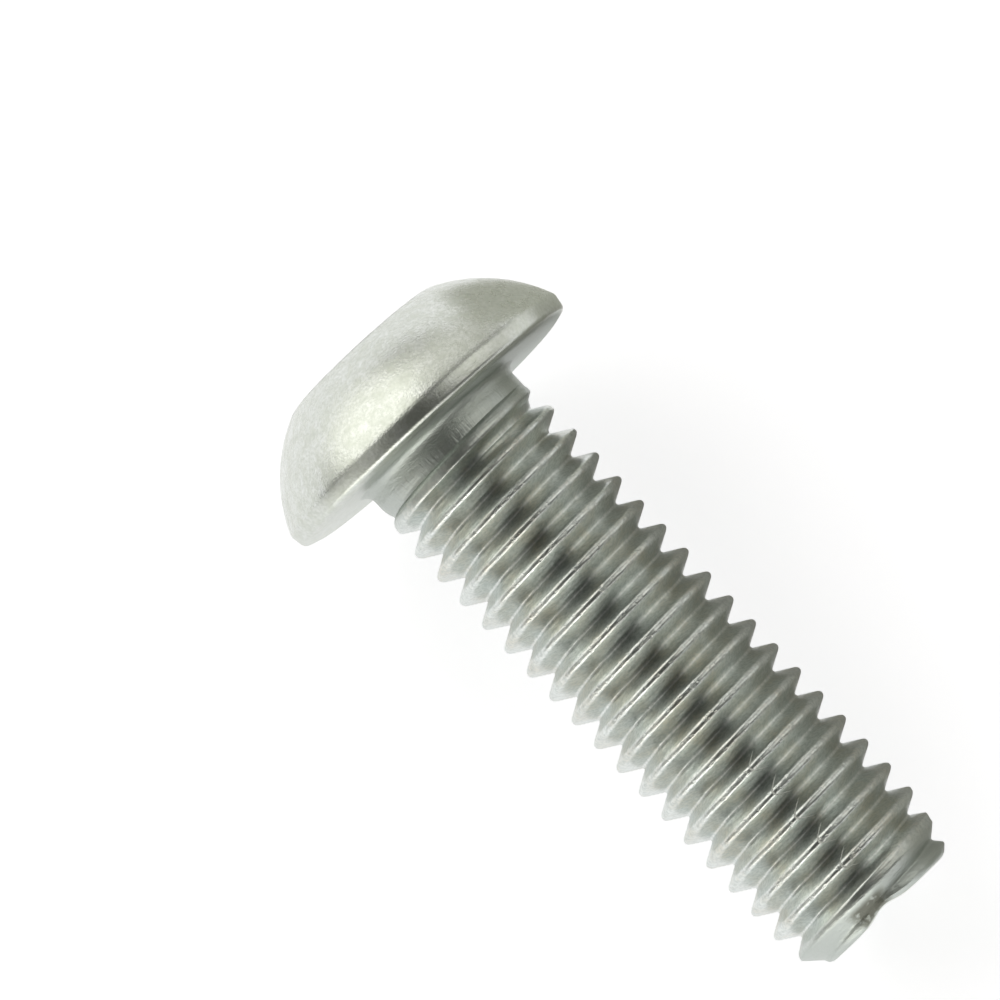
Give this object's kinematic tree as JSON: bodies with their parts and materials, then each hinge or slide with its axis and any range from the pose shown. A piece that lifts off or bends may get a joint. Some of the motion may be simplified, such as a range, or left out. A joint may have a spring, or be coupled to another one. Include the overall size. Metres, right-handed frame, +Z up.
{
  "type": "button head screw",
  "caption": "Button head hexagon socket screw in bare stainless steel, with a low domed head and a coarse right-hand rolled thread to just under the head.",
  "frame": {"origin": "centre of the bounding box in X and Y, on the floor that the screw lies on", "axes": "+X from the head to the tip and +Z up; the screw's own axis lies in the XZ plane and dips 7.2 degrees towards the tip, because the screw rests on the rim of its head and a crest near its tip"},
  "size_m": [0.03, 0.0138, 0.0136],
  "materials": {
    "stainless": "A2 stainless steel as cold headed and thread rolled, barrel finished to a fine satin"
  },
  "bodies": {
    "root": {"button_head_screw": "stainless"}
  },
  "joints": []
}
